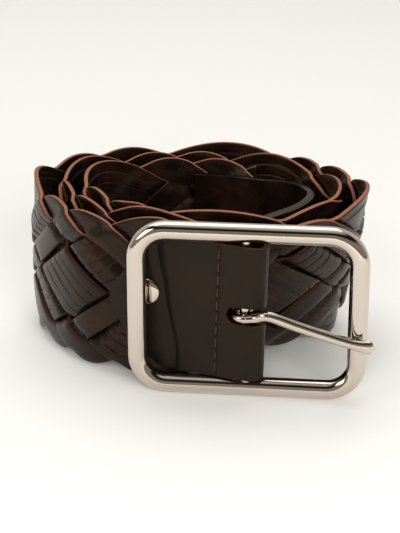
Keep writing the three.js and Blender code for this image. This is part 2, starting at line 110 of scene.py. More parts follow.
# Light: a studio, white behind and grey with a dark ceiling in front, with a soft box overhead.
# The world's colour goes by height and by depth, so chrome shows crisp bands. Fill lights in front
# and behind clear the floor of shadows and keep out of the chrome's reflections.
world = bpy.data.worlds.new("studio")
bpy.context.scene.world = world
world.use_nodes = True
world.node_tree.nodes.clear()
world_place = add_node(world.node_tree, "ShaderNodeTexCoord")
world_parts = add_node(
    world.node_tree, "ShaderNodeSeparateXYZ", links={"Vector": world_place.outputs["Generated"]}
)
front_ramp = add_node(world.node_tree, "ShaderNodeValToRGB", links={"Fac": world_parts.outputs["Z"]})
front_bands = ((0.0, "#8e857c"), (0.06, "#b3a89d"), (0.45, "#b3a89d"), (0.6, "#2b2826"), (0.82, "#2b2826"))
front_ramp.color_ramp.elements[1].position = 0.97
front_ramp.color_ramp.elements[1].color = linear("#ffffff")
front_ramp.color_ramp.elements[0].color = linear(front_bands[0][1])
for band_place, band_colour in front_bands[1:]:
    front_ramp.color_ramp.elements.new(band_place).color = linear(band_colour)
to_back = add_node(
    world.node_tree,
    "ShaderNodeMapRange",
    {"From Min": 0.0, "From Max": 0.3, "interpolation_type": "SMOOTHSTEP"},
    {"Value": world_parts.outputs["Y"]},
)
world_colour = add_node(
    world.node_tree,
    "ShaderNodeMix",
    {"data_type": "RGBA", 7: linear("#fbf7f0")},
    {0: to_back.outputs["Result"], 6: front_ramp.outputs["Color"]},
)
world_light = add_node(
    world.node_tree, "ShaderNodeBackground", {"Strength": 0.63}, {"Color": world_colour.outputs[2]}
)
add_node(world.node_tree, "ShaderNodeOutputWorld", links={"Surface": world_light.outputs["Background"]})


def soft_box(name, place, target, size, power, mirrored=True):
    data = bpy.data.lights.new(name, "AREA")
    data.shape = "RECTANGLE"
    data.size, data.size_y = size
    data.energy = power
    light = bpy.data.objects.new(name, data)
    light.location = place
    light.rotation_euler = (Vector(target) - Vector(place)).to_track_quat("-Z", "Y").to_euler()
    light.visible_glossy = mirrored
    bpy.context.collection.objects.link(light)


soft_box("top_box", (-0.1, 0.35, 1.0), (0, 0, 0.03), (1.1, 0.8), 3.8)
soft_box("left_box", (-0.9, -0.5, 0.6), (0, 0, 0.03), (0.6, 0.6), 2.6)
soft_box("front_fill", (0.25, -1.3, 0.6), (0, 0, 0.03), (1.2, 0.6), 22, mirrored=False)
soft_box("back_wash", (0, 1.5, 0.9), (0, 1.1, 0), (2.4, 0.8), 5, mirrored=False)

# Braid: six flat strands of glossy dark leather, two wide and four narrow, over one and under one.
# Both faces are finished dark and glossy, and the knife left the edges a raw copper tan. The tan is full only
# on the top edges, as painted light; the lower edges and the slits are darkened as painted shade.
# Each wide strand is slit lengthwise into five strips that stay joined at short bridges.
belt_height = 62
crest_spacing = 79.5
braid_ends = (8, 733)
first_crest = 28
narrow_lead = 30.1
late_crests = 4.5
late_most = 19
late_at = 230
late_width = 50
squeeze_length = 25
squeezed_share = 0.74
leather_thickness = 1.65
strand_lift = 1.65
wide_strand = {"width": 21.4, "crest": belt_height / 2, "sharpness": 0.06, "strips": 5}
narrow_strand = {"width": 8.7, "crest": 29.2, "sharpness": 0.1, "strips": 1}
coil_size = (129, 87)
coil_centre_back = 10
bar_place = (16.1, -54.5)
strap_turn = math.radians(22)
strap_length = 50
turn_spacing = 5.2
tail_inset = 1.45
outward_lean = math.radians(21)
lean_along = (150, 220)
lean_across = (-0.29, 0.23)
lean_back = (-0.35, 0.26)
inward_lean = math.radians(3)
left_lean_across = (0.3, 0.5)
# Each row: way outwards, across and back as shares of the coil, then the second and third turns'
# insets in braid thicknesses. Second 0 is the front run, and third 0 is left out of the third turn.
coil_rows = [
    (-140, -0.318, -0.47, 2.05, 3.5),
    (-150, -0.385, -0.34, 1.75, 3.35),
    (-158, -0.445, -0.19, 1.75, 3.45),
    (-172, -0.484, -0.036, 1.85, 3.6),
    (172, -0.488, 0.119, 1.95, 3.8),
    (150, -0.432, 0.286, 1.95, 3.8),
    (126, -0.327, 0.412, 1.95, 3.75),
    (104, -0.173, 0.487, 1.7, 3.35),
    (88, 0, 0.5, 1.65, 3.35),
    (70, 0.157, 0.454, 1.7, 3.4),
    (56, 0.287, 0.35, 1.65, 3.3),
    (38, 0.378, 0.21, 1.65, 3.3),
    (10, 0.41, 0.055, 1.75, 3.65),
    (-22, 0.4, -0.075, 1.75, 0),
    (-50, 0.35, -0.175, 1.6, 3.3),
    (-62, 0.275, -0.25, 1.45, 2.95),
    (-67, 0.185, -0.32, 0, 1.5),
    (-74, 0.07, -0.395, 0, 1.55),
    (-92, -0.065, -0.445, 0, 1.65),
    (-120, -0.195, -0.385, 0, 1.5),
]


def coil_point(row, thicknesses):
    way, across, back = math.radians(row[0]), row[1] * coil_size[0], row[2] * coil_size[1]
    inset = thicknesses * turn_spacing
    return (across - inset * math.cos(way), coil_centre_back + back - inset * math.sin(way))


def belt_route():
    heading = (-math.cos(strap_turn), math.sin(strap_turn))
    points = [
        (bar_place[0] + heading[0] * reach, bar_place[1] + heading[1] * reach)
        for reach in np.linspace(0, strap_length, 4)
    ]
    sides = [row for row in coil_rows if row[3] > 0]
    front = [row for row in coil_rows if row[3] == 0]
    points += [coil_point(row, 0) for row in sides + front]
    points += [coil_point(row, row[3]) for row in sides]
    points += [coil_point(row, row[4]) for row in front]
    points += [coil_point(row, row[4]) for row in sides if row[4] > 0]
    points += [coil_point(row, row[4] + tail_inset) for row in front]
    points = np.array(points)
    controls = np.vstack([2 * points[0] - points[1], points, 2 * points[-1] - points[-2]])
    spans = len(controls) - 3
    place = np.linspace(0, spans, spans * 120 + 1)
    span = np.minimum(place.astype(int), spans - 1)
    t = (place - span)[:, None]
    weights = [(1 - t) ** 3, 3 * t**3 - 6 * t**2 + 4, 1 + 3 * t + 3 * t**2 - 3 * t**3, t**3]
    return sum(weight * controls[span + n] for n, weight in enumerate(weights)) / 6


route = belt_route()
route_along = np.concatenate([[0], np.cumsum(np.hypot(*np.diff(route, axis=0).T))])
route_heading = np.gradient(route, route_along, axis=0)
route_heading /= np.linalg.norm(route_heading, axis=1)[:, None]
pivot = Vector(frame["record"]["behaviour"]["joints"][0]["pos_m"])
shift = np.array([pivot.x / MM - bar_place[0], pivot.y / MM - bar_place[1]])


def smooth(value, low, high):
    share = np.clip((value - low) / (high - low), 0, 1)
    return share * share * (3 - 2 * share)


def on_belt(along, up, out):
    """A place on the belt in metres: along it from the bar, up from its middle and out of its plane.
    The coil's front and right walls lean outwards, turned about their feet on the floor, and its
    left end leans in."""
    along, up, out = np.broadcast_arrays(along, up, out)
    inside = np.clip(along, 0, route_along[-1])
    x, y = (np.interp(inside, route_along, route[:, n]) for n in (0, 1))
    hx, hy = (np.interp(inside, route_along, route_heading[:, n]) for n in (0, 1))
    x = x + hx * (along - inside)
    y = y + hy * (along - inside)
    to_right = smooth(x / coil_size[0], *lean_across)
    to_back = smooth((y - coil_centre_back) / coil_size[1], *lean_back)
    to_left = smooth(-x / coil_size[0], *left_lean_across)
    lean = outward_lean * to_right * (1 - to_back) - inward_lean * to_left * (1 - to_back / 2)
    lean = lean * smooth(along, *lean_along)
    height = belt_height / 2 + up
    aside = out * np.cos(lean) + height * np.sin(lean)
    level = height * np.cos(lean) + (turn_spacing / 2 - out) * np.sin(lean)
    return np.stack([x - hy * aside + shift[0], y + hx * aside + shift[1], level], axis=-1) * MM


def tube(rings, name, *materials, raw=None):
    """A closed skin over rings of places. raw says how much of each place shows the copper colour of bare cut
    leather; on the braid it is also cut back as painted shade on the lower edges and slits.
    """
    steps, around = rings.shape[:2]
    columns = around + 1
    bm = bmesh.new()
    bmesh.ops.create_grid(bm, x_segments=steps - 1, y_segments=columns - 1, size=1)
    mesh = bpy.data.meshes.new("skin")
    bm.to_mesh(mesh)
    count = len(mesh.vertices)
    flat = np.empty(count * 3)
    mesh.vertices.foreach_get("co", flat)
    grid = flat.reshape(-1, 3)
    row = np.rint((grid[:, 0] + 1) / 2 * (steps - 1)).astype(int)
    column = np.rint((grid[:, 1] + 1) / 2 * (columns - 1)).astype(int)
    mesh.vertices.foreach_set("co", rings[row, column % around].astype(float).ravel())
    reach = np.linalg.norm(np.diff(rings, axis=0), axis=2).mean(axis=1)
    ahead = np.concatenate([[0], np.cumsum(reach)])
    beside = np.linalg.norm(np.diff(rings[steps // 2, np.arange(columns) % around], axis=0), axis=1)
    beside = np.concatenate([[0], np.cumsum(beside)])
    corner = np.empty(len(mesh.loops), dtype=np.int32)
    mesh.loops.foreach_get("vertex_index", corner)
    chart = mesh.uv_layers.new(name="length")
    chart.data.foreach_set("uv", np.stack([ahead[row], beside[column]], axis=1)[corner].ravel())
    if raw is not None:
        cut = mesh.attributes.new("raw", "FLOAT", "POINT")
        cut.data.foreach_set("value", raw[row, column % around].astype(float))
    bm.clear()
    bm.from_mesh(mesh)
    bpy.data.meshes.remove(mesh)
    bmesh.ops.remove_doubles(bm, verts=bm.verts, dist=1e-7)
    rims = [edge for edge in bm.edges if edge.is_boundary]
    bmesh.ops.holes_fill(bm, edges=rims, sides=0)
    bmesh.ops.recalc_face_normals(bm, faces=bm.faces)
    for face in bm.faces:
        face.smooth = True
    return finished(bm, name, *materials)


def drift(rng, along, waves, size):
    """A slow wander along a strand, as hand work leaves, made of a few waves of random phase."""
    return size * sum(np.sin(2 * np.pi * (along / w + rng.random())) for w in waves) / len(waves)


# Bridle leather: drum dyed through, then oiled and glazed, so it is nearly black with a soft gloss.
# Random patches and streaks turn it a smoky brown, partly where the oil wore away and partly a painted sheen.
# Cut edges show bare copper-tan fibre.
def leather(name, dark, worn_and_sheen, edge_dark, edge_light, roughness, patch_mm=14, pore_mm=0.45):
    material = new_material(name)
    tree = material.node_tree
    place = add_node(tree, "ShaderNodeTexCoord").outputs["Object"]
    chart = add_node(tree, "ShaderNodeUVMap", {"uv_map": "length"}).outputs["UV"]
    raw = add_node(tree, "ShaderNodeAttribute", {"attribute_name": "raw"}).outputs["Fac"]
    patches = add_node(
        tree,
        "ShaderNodeTexNoise",
        {"Scale": 1 / (patch_mm * MM), "Detail": 4.0, "Roughness": 0.6},
        {"Vector": place},
    )
    streak_map = add_node(tree, "ShaderNodeMapping", {"Scale": (0.18, 1, 1)}, {"Vector": chart})
    streaks = add_node(
        tree,
        "ShaderNodeTexNoise",
        {"Scale": 1 / (2.2 * MM), "Detail": 3.0},
        {"Vector": streak_map.outputs["Vector"]},
    )
    both = add_node(
        tree,
        "ShaderNodeMath",
        {"operation": "MULTIPLY_ADD", 1: 0.35},
        {0: streaks.outputs["Fac"], 2: patches.outputs["Fac"]},
    )
    # Lighter smoky patches and streaks: partly wear, partly painted sheen.
    wear_and_sheen = add_node(
        tree,
        "ShaderNodeMapRange",
        {"From Min": 0.55, "From Max": 0.9, "interpolation_type": "SMOOTHSTEP"},
        {"Value": both.outputs["Value"]},
    )
    grain_colour = add_node(
        tree, "ShaderNodeMix", {"data_type": "RGBA", 6: linear(dark), 7: linear(worn_and_sheen)}, {0: wear_and_sheen.outputs[0]}
    )
    fibres = add_node(
        tree,
        "ShaderNodeTexNoise",
        {"Scale": 1 / (0.5 * MM), "Detail": 3.0, "Roughness": 0.7},
        {"Vector": place},
    )
    edge_colour = add_node(
        tree,
        "ShaderNodeMix",
        {"data_type": "RGBA", 6: linear(edge_dark), 7: linear(edge_light)},
        {0: fibres.outputs["Fac"]},
    )
    colour = add_node(
        tree,
        "ShaderNodeMix",
        {"data_type": "RGBA"},
        {0: raw, 6: grain_colour.outputs[2], 7: edge_colour.outputs[2]},
    )
    pores = add_node(
        tree,
        "ShaderNodeTexVoronoi",
        {"feature": "SMOOTH_F1", "Scale": 1 / (pore_mm * MM), "Smoothness": 0.6},
        {"Vector": place},
    )
    pore_bump = add_node(
        tree,
        "ShaderNodeBump",
        {"Strength": 0.22, "Distance": 0.06 * MM},
        {"Height": pores.outputs["Distance"]},
    )
    fold_bump = add_node(
        tree,
        "ShaderNodeBump",
        {"Strength": 0.35, "Distance": 0.12 * MM},
        {"Height": streaks.outputs["Fac"], "Normal": pore_bump.outputs["Normal"]},
    )
    fibre_strength = add_node(tree, "ShaderNodeMath", {"operation": "MULTIPLY", 1: 0.9}, {0: raw})
    fibre_bump = add_node(
        tree,
        "ShaderNodeBump",
        {"Distance": 0.25 * MM},
        {
            "Height": fibres.outputs["Fac"],
            "Strength": fibre_strength.outputs["Value"],
            "Normal": fold_bump.outputs["Normal"],
        },
    )
    gloss = add_node(
        tree,
        "ShaderNodeMapRange",
        {"To Min": roughness - 0.07, "To Max": roughness + 0.14},
        {"Value": patches.outputs["Fac"]},
    )
    rough = add_node(
        tree, "ShaderNodeMix", {"data_type": "FLOAT", 3: 0.85}, {0: raw, 2: gloss.outputs["Result"]}
    )
    shader = add_node(
        tree,
        "ShaderNodeBsdfPrincipled",
        {"IOR": 1.37, "Specular Tint": linear("#f4d9c6")},
        {
            "Base Color": colour.outputs[2],
            "Roughness": rough.outputs[0],
            "Normal": fibre_bump.outputs["Normal"],
        },
    )
    add_node(tree, "ShaderNodeOutputMaterial", links={"Surface": shader.outputs["BSDF"]})
    return material


# The second colour is the smoky brown of wear and painted sheen.
braid_leather = leather(
    "glazed_bridle_leather", "#0f0806", "#25160f", "#6b3f2e", "#b27a60", roughness=0.24
)

strands = []
for order in range(6):
    kind = wide_strand if order % 3 == 0 else narrow_strand
    lead = (0, narrow_lead, crest_spacing - narrow_lead)[order % 3]
    crest_at = first_crest + order // 3 * crest_spacing + lead
    reach = kind["crest"] - kind["width"] / 2
    strands.append({**kind, "order": order, "crest_at": crest_at, "reach": reach})


def wave(strand, along):
    """Height of a strand's middle and its slope. Hand work isn't even: some crests come late."""
    hump = late_most * np.exp(-(((along - late_at) / late_width) ** 2))
    turn = math.pi / crest_spacing * (1 + 2 * hump * (along - late_at) / late_width**2)
    phase = math.pi / crest_spacing * (along - late_crests - hump - strand["crest_at"])
    sharpness = strand["sharpness"]
    scale = strand["reach"] / (1 + sharpness)
    up = scale * (np.cos(phase) + sharpness * np.cos(3 * phase))
    slope = -scale * turn * (np.sin(phase) + 3 * sharpness * np.sin(3 * phase))
    return up, slope


def strand_place(strand, along, across):
    up, slope = wave(strand, along)
    length = np.hypot(1, slope)
    return along - across * slope / length, up + across / length


over_margin = 1.7
under_margin = 1.5
first_seed = 40
ring_spacing = 1.25
past_ends = 40
puff_waves = (19, 31, 53)
puff_size = 0.16
slit_waves = (23, 41, 67)
slit_least = 0.1
slit_more = 0.13
slit_depth = 0.62
bridge_reach = (2.0, 5.0)
top_lit_raw_heights = (14, 28)
shaded_raw_least = 0.14


def crossing_lift(strand, along, flat_along, flat_up):
    """From 1, outside the strand that it crosses there, to -1, inside it."""
    total = np.zeros_like(flat_along)
    _, own_slope = wave(strand, along)
    for other in strands:
        if other is strand:
            continue
        foot = flat_along.copy()
        for _ in range(7):
            up, slope = wave(other, foot)
            foot += (flat_along - foot + (flat_up - up) * slope) / (1 + slope * slope)
        up, slope = wave(other, foot)
        distance = np.hypot(flat_along - foot, flat_up - up)
        half = other["width"] / 2
        near = smooth(half + over_margin - distance, 0, over_margin + under_margin)
        crossing = smooth(np.abs(own_slope - slope), 0.1, 0.45)
        odd = (strand["order"] + other["order"]) % 2 == 1
        total += np.where((own_slope > slope) == odd, 1, -1) * near * crossing
    return np.clip(total, -1, 1)


def section_points(strand):
    """Points round a strand's section, as rows of across, slit spread, height share, groove and raw."""
    half, strips = strand["width"] / 2, strand["strips"]
    side = []
    for strip in range(strips):
        low = -half + strand["width"] * strip / strips
        high = low + strand["width"] / strips
        first, last = strip == 0, strip == strips - 1
        if first:
            side += [(low + 0.04, 0, 0.84, 0, 0), (low + 0.28, 0, 1, 0, 0)]
        else:
            side += [(low, 1, 0.95, 0, 0), (low + 0.22, 1, 1, 0, 0)]
        side += [(low + (high - low) * share, 0, 1.01, 0, 0) for share in (0.3, 0.5, 0.7)]
        if last:
            side += [(high - 0.28, 0, 1, 0, 0), (high - 0.04, 0, 0.84, 0, 0)]
        else:
            # The slit walls keep the dark grain colour and the slit floor gets only 0.1 of the copper, though
            # both are cut: painted shade in the slits.
            side += [(high - 0.22, -1, 1, 0, 0), (high, -1, 0.95, 0, 0), (high, 0, 1, 1, 0.1)]
    right = [(half, 0, 0.74, 0, 1), (half + 0.04, 0, 0, 0, 1), (half, 0, -0.74, 0, 1)]
    below = [(a, s, -h, g, r) for a, s, h, g, r in reversed(side)]
    left = [(-a, s, -h, g, r) for a, s, h, g, r in right]
    return np.array(side + right + below + left)


def braided_strand(strand):
    rng = random.Random(first_seed + strand["order"])
    points = section_points(strand)
    across = points[:, 0]
    longest = np.arange(braid_ends[0] - past_ends, braid_ends[1] + past_ends, 0.5)
    lines = []
    count = int((braid_ends[1] - braid_ends[0]) / ring_spacing)
    for offset in across:
        reached, _ = strand_place(strand, longest, offset)
        ends = np.interp(braid_ends, reached, longest)
        lines.append(np.linspace(*ends, count))
    along = np.stack(lines, axis=1)
    spread = np.zeros_like(along)
    depth = np.zeros_like(along)
    tilt = np.zeros_like(along)
    strips = strand["strips"]
    strip_of = np.clip(((across / strand["width"] + 0.5) * strips).astype(int), 0, strips - 1)
    for strip in range(strips):
        wander = drift(rng, along[:, 0], puff_waves, puff_size)
        tilt[:, strip_of == strip] += wander[:, None]
    slits = np.rint((across / strand["width"] + 0.5) * strips)
    for slit in range(1, strips):
        bridge = rng.random() * crest_spacing
        phase = (along[:, 0] - bridge) / crest_spacing
        gap = np.abs((phase - np.rint(phase)) * crest_spacing)
        present = smooth(gap, *bridge_reach)
        opened = slit_least + slit_more * (1 + drift(rng, along[:, 0], slit_waves, 1.0)) * present
        beside = (slits == slit) & (np.abs(points[:, 1]) + points[:, 3] > 0)
        spread[:, beside] = (opened * present)[:, None]
        depth[:, beside & (points[:, 3] > 0)] = (slit_depth * present)[:, None]
    flat_across = across + points[:, 1] * spread
    flat_along, flat_up = strand_place(strand, along, flat_across)
    lift = crossing_lift(strand, along, flat_along, flat_up)
    height = points[:, 2] * leather_thickness / 2
    height = height - np.sign(points[:, 2]) * depth * (points[:, 3] > 0)
    squeezed = squeezed_share + (1 - squeezed_share) * smooth(
        flat_along, braid_ends[0], braid_ends[0] + squeeze_length
    )
    out = strand_lift * lift + height + tilt
    rings = on_belt(flat_along, flat_up * squeezed, out)
    # Edges near the belt's top get the full copper and lower ones keep only a small share of it: painted
    # light on the top edges and painted shade below.
    raw = points[:, 4] * (shaded_raw_least + (1 - shaded_raw_least) * smooth(flat_up, *top_lit_raw_heights))
    return rings, raw


for strand in strands:
    kind = "wide" if strand["order"] % 3 == 0 else "narrow"
    node = f"{kind}_strand_{strand['order'] + 1}"
    rings, raw = braided_strand(strand)
    piece = tube(rings, f"{kind}_leather_{strand['order'] + 1}", braid_leather, raw=raw)
    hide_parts(node)
    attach(piece, "belt")

# Strap: one smooth piece of darker leather, folded round the buckle's bar and over the braid's end.
# The front leaf ends in a rounded tab, with a slot for the prong at the fold. The rivet dents it.
strap_leather = leather(
    "smooth_calf_leather",
    "#0f0b08",
    "#19110c",
    "#472c20",
    "#6e4632",
    roughness=0.42,
    patch_mm=25,
    pore_mm=0.35,
)
strap_thickness = 1.8
leaf_middle = (5.5 + strap_thickness) / 2
strap_half_height = 49.2 / 2
strap_rise = 1
strap_slant = 0.033
fold_reach = 2.4
tab_length = 26
tab_point = 4
rivet_along = 35.5
rivet_up = 5
rivet_head = 9.4
slot_height = 6.8
slot_reach = 6.4
slot_drop = 0.8
stitch_along = 9.4
far_out = leaf_middle + strap_thickness / 2
rim_along = 31.5
braid_rise = 0.75
valley_depth = 0.6
ridge_height = 0.3
dent_depth = 1.1
dent_radius = 5.6
seam_depth = 0.22
seam_width = 1.1


def on_strap(along, up, out):
    """The strap stands a little out of square with the braid, and is centred on the buckle's bar."""
    return on_belt(along - strap_slant * up, up + strap_rise, out)


def tab_half_height(to_tip):
    reach, whole = (np.sqrt(d * (d + 2 * tab_point)) for d in (to_tip, tab_length))
    return strap_half_height * np.sin(np.pi / 2 * reach / whole)


def leaf_relief(along, up):
    """How far the front leaf stands out over the braid's end, and sinks in round the rivet."""
    rim = rim_along + 3.2 * smooth(up, 3, 22) - 4.5 * smooth(-up, -6, 20)
    raised = braid_rise * smooth(along, rim - 1.5, rim + 1.4)
    valley = -valley_depth * np.exp(-(((along - rim + 2.3) / 1.7) ** 2))
    ridge = ridge_height * np.exp(-(((along - rim + 5.4) / 1.8) ** 2))
    away = np.hypot(along - rivet_along, up - rivet_up)
    dent = -dent_depth * np.exp(-((away / dent_radius) ** 2))
    seam = -seam_depth * np.exp(-(((along - stitch_along) / seam_width) ** 2))
    return raised + valley + ridge + dent + seam


def folded_strap():
    fold = math.pi * leaf_middle
    back_leaf = rivet_along + rivet_head / 2
    front_from = back_leaf + 2 * fold_reach + fold
    total = front_from + strap_length
    steps, rows = 330, 130
    bm = bmesh.new()
    bmesh.ops.create_grid(bm, x_segments=steps, y_segments=rows, size=1)
    path = np.array([(v.co.x + 1) / 2 * total for v in bm.verts])
    up = np.array([v.co.y for v in bm.verts]) * strap_half_height
    slot_from = back_leaf - slot_reach
    slot_to = front_from + slot_reach
    round_end = slot_height / 2
    past = np.maximum(np.maximum(slot_from + round_end - path, path - slot_to + round_end), 0)
    away = np.hypot(past, up + slot_drop)
    inside = away < round_end
    near = np.abs(away - round_end) < 0.6 * total / steps
    stretch = round_end / np.maximum(away, 0.1)
    up = np.where(near, (up + slot_drop) * stretch - slot_drop, up)
    bm.verts.ensure_lookup_table()
    cut = [f for f in bm.faces if all(inside[v.index] or near[v.index] for v in f.verts)]
    folding = path - back_leaf - fold_reach
    turn = np.clip(folding / leaf_middle, 0, np.pi)
    front = path > front_from - fold_reach
    along = np.where(front, path - front_from, back_leaf - path)
    bend = (turn > 0) & (turn < np.pi)
    along = np.where(bend, -fold_reach - np.sin(turn) * leaf_middle, along)
    out = -np.cos(turn) * leaf_middle
    to_tip = np.clip(strap_length - along, 0.02, tab_length)
    level = np.where(front, up * tab_half_height(to_tip) / strap_half_height, up)
    out = out + np.where(front, leaf_relief(along, level), 0) * smooth(along, 1, 6)
    places = on_strap(along, level, out)
    for vert, place in zip(bm.verts, places):
        vert.co = place
    bmesh.ops.delete(bm, geom=cut, context="FACES")
    bmesh.ops.recalc_face_normals(bm, faces=bm.faces)
    return bm


cut_edge = leather(
    "burnished_calf_edge", "#3a241b", "#5c3a2a", "#472c20", "#6e4632", roughness=0.6, patch_mm=3, pore_mm=0.3
)
strap = finished(folded_strap(), "strap_leather_piece", strap_leather, cut_edge)
strap.data.attributes.new("raw", "FLOAT", "POINT")
strap_wall = strap.modifiers.new("wall", "SOLIDIFY")
strap_wall.thickness = strap_thickness * MM
strap_wall.offset = 0
strap_wall.use_even_offset = True
strap_wall.material_offset_rim = 1
strap_round = strap.modifiers.new("edges", "BEVEL")
strap_round.width = 0.3 * MM
strap_round.segments = 2
strap_round.limit_method = "ANGLE"
strap_round.angle_limit = math.radians(50)
for polygon in strap.data.polygons:
    polygon.use_smooth = True
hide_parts("buckle_strap")
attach(strap, "belt")

# Stitches: waxed copper-brown thread in a row down the front leaf, each stitch 4.2 mm of twisted cord.
# They dip into punched holes 4.7 mm apart, which sit in a shallow drawn line; a near-black blob on each hole
# is painted shade.
thread = new_material("waxed_thread")
thread_tree = thread.node_tree
thread_place = add_node(thread_tree, "ShaderNodeUVMap", {"uv_map": "length"}).outputs["UV"]
ply_map = add_node(
    thread_tree, "ShaderNodeMapping", {"Rotation": (0, 0, math.radians(35))}, {"Vector": thread_place}
)
plies = add_node(
    thread_tree, "ShaderNodeTexWave", {"Scale": 1 / (3 * MM)}, {"Vector": ply_map.outputs["Vector"]}
)
thread_colour = add_node(
    thread_tree,
    "ShaderNodeMix",
    {"data_type": "RGBA", 6: linear("#190e09"), 7: linear("#4c2c1f")},
    {0: plies.outputs["Fac"]},
)
thread_bump = add_node(
    thread_tree, "ShaderNodeBump", {"Strength": 0.6, "Distance": 0.1 * MM}, {"Height": plies.outputs["Fac"]}
)
thread_shader = add_node(
    thread_tree,
    "ShaderNodeBsdfPrincipled",
    {"Roughness": 0.6},
    {"Base Color": thread_colour.outputs[2], "Normal": thread_bump.outputs["Normal"]},
)
add_node(thread_tree, "ShaderNodeOutputMaterial", links={"Surface": thread_shader.outputs["BSDF"]})

stitch_spacing = 4.7
stitch_length = 4.2
stitch_count = 10
stitch_proud = 0.05
stitch_dip = 0.7
thread_radius = 0.3
round_thread = np.linspace(0, 2 * np.pi, 10, endpoint=False)
hole_size = (0.85 * MM, 0.8 * MM, 0.35 * MM)
# Near-black flat blobs at the holes: painted shade inside the punched holes.
painted_hole_shade = new_material("punched_hole_shade")
hole_shader = add_node(
    painted_hole_shade.node_tree, "ShaderNodeBsdfPrincipled", {"Base Color": linear("#080605"), "Roughness": 0.9}
)
add_node(painted_hole_shade.node_tree, "ShaderNodeOutputMaterial", links={"Surface": hole_shader.outputs["BSDF"]})
for stitch in range(stitch_count):
    middle_up = (stitch - (stitch_count - 1) / 2) * stitch_spacing
    share = np.linspace(-1, 1, 9)
    ups = middle_up + share * stitch_length / 2
    outs = far_out + stitch_proud - stitch_dip * share**6
    radius = thread_radius * np.sqrt(1 - 0.5 * share**4)
    rings = np.stack(
        [
            on_strap(stitch_along + r * np.cos(round_thread), u, o + r * np.sin(round_thread))
            for u, o, r in zip(ups, outs, radius)
        ]
    )
    piece = tube(rings, f"stitch_{stitch + 1}", thread)
    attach(piece, "belt")
holes_bm = bmesh.new()
for hole in range(stitch_count + 1):
    up = (hole - stitch_count / 2) * stitch_spacing
    face_out = far_out + float(leaf_relief(np.float64(stitch_along), np.float64(up)))
    foot, toward = (Vector(on_strap(stitch_along, up, face_out + reach)) for reach in (0, 1))
    way = Vector((0, 0, 1)).rotation_difference((toward - foot).normalized()).to_matrix().to_4x4()
    bmesh.ops.create_uvsphere(
        holes_bm,
        u_segments=14,
        v_segments=6,
        radius=1,
        matrix=Matrix.Translation(foot) @ way @ Matrix.Diagonal((*hole_size, 1)),
    )
for face in holes_bm.faces:
    face.smooth = True
stitch_hole_shades = finished(holes_bm, "stitch_hole_shades", painted_hole_shade)
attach(stitch_hole_shades, "belt")

# Rivets: turned steel with a nickel plate, a domed head in front and a flat one behind.
# One holds the strap to the braid's start, the other holds the billet to the braid's end.
nickel = new_material("polished_nickel_plate")
nickel_tree = nickel.node_tree
nickel_place = add_node(nickel_tree, "ShaderNodeTexCoord").outputs["Object"]
nickel_haze = add_node(nickel_tree, "ShaderNodeTexNoise", {"Scale": 1 / (9 * MM)}, {"Vector": nickel_place})
nickel_rough = add_node(
    nickel_tree, "ShaderNodeMapRange", {"To Min": 0.04, "To Max": 0.11}, {"Value": nickel_haze.outputs["Fac"]}
)
nickel_shader = add_node(
    nickel_tree,
    "ShaderNodeBsdfPrincipled",
    {"Base Color": linear("#d3c8bc"), "Metallic": 1.0},
    {"Roughness": nickel_rough.outputs["Result"]},
)
add_node(nickel_tree, "ShaderNodeOutputMaterial", links={"Surface": nickel_shader.outputs["BSDF"]})
rivet_post = 3
seat = 0.35
dome_rim = 0.25
dome_height = 1.25
back_head_share = 0.8
back_head_thickness = 0.6


def turned_rivet(name, node, along, up, front, back):
    foot, toward = (Vector(on_belt(along, up, reach)) for reach in (0, 1))
    head, post, back_head = rivet_head / 2, rivet_post / 2, rivet_head / 2 * back_head_share
    dome_from, back_face = front + seat + dome_rim, back - seat
    profile = [(0, back_face - back_head_thickness), (head * 0.78, back_face - back_head_thickness)]
    profile += [(back_head, back_face - back_head_thickness / 2), (back_head, back_face)]
    profile += [(post, back_face), (post, front), (head, front + 0.1)]
    for turn in np.linspace(0, math.pi / 2, 9):
        profile.append((head * math.cos(turn), dome_from + dome_height * math.sin(turn)))
    bm = bmesh.new()
    corners = [bm.verts.new((r * MM, 0, z * MM)) for r, z in profile]
    edges = [bm.edges.new(pair) for pair in zip(corners, corners[1:])]
    bmesh.ops.spin(
        bm, geom=corners + edges, axis=(0, 0, 1), cent=(0, 0, 0), steps=40, angle=2 * math.pi, use_merge=True
    )
    bmesh.ops.remove_doubles(bm, verts=bm.verts, dist=1e-6)
    bmesh.ops.recalc_face_normals(bm, faces=bm.faces)
    way = Vector((0, 0, 1)).rotation_difference((toward - foot).normalized()).to_matrix().to_4x4()
    bmesh.ops.transform(bm, matrix=Matrix.Translation(foot) @ way, verts=bm.verts)
    for face in bm.faces:
        face.smooth = True
    piece = finished(bm, name, nickel)
    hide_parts(node)
    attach(piece, "belt")


turned_rivet("rivet_in_strap", "strap_rivet", rivet_along, rivet_up, far_out, -far_out)

# Billet: the belt's other end, a plain smooth strap with a rounded tip and four round holes.
# It lies against the inside of the braid's end, which a rivet holds to it.
billet_thickness = 2.8
billet_length = 88
billet_half_height = 24
billet_overlap = 24
billet_start = braid_ends[1] - billet_overlap
billet_end = billet_start + billet_length
billet_rivet_along = braid_ends[1] - billet_overlap / 2
billet_hole = 4
hole_from_tip = 14
hole_spacing = 18
billet_holes = [billet_end - hole_from_tip - hole_spacing * n for n in range(4)]
cranked = (4, 22)


def billet_out(along):
    beside = -(turn_spacing / 2 + seat + billet_thickness / 2)
    return beside * (1 - smooth(along, braid_ends[1] + cranked[0], braid_ends[1] + cranked[1]))


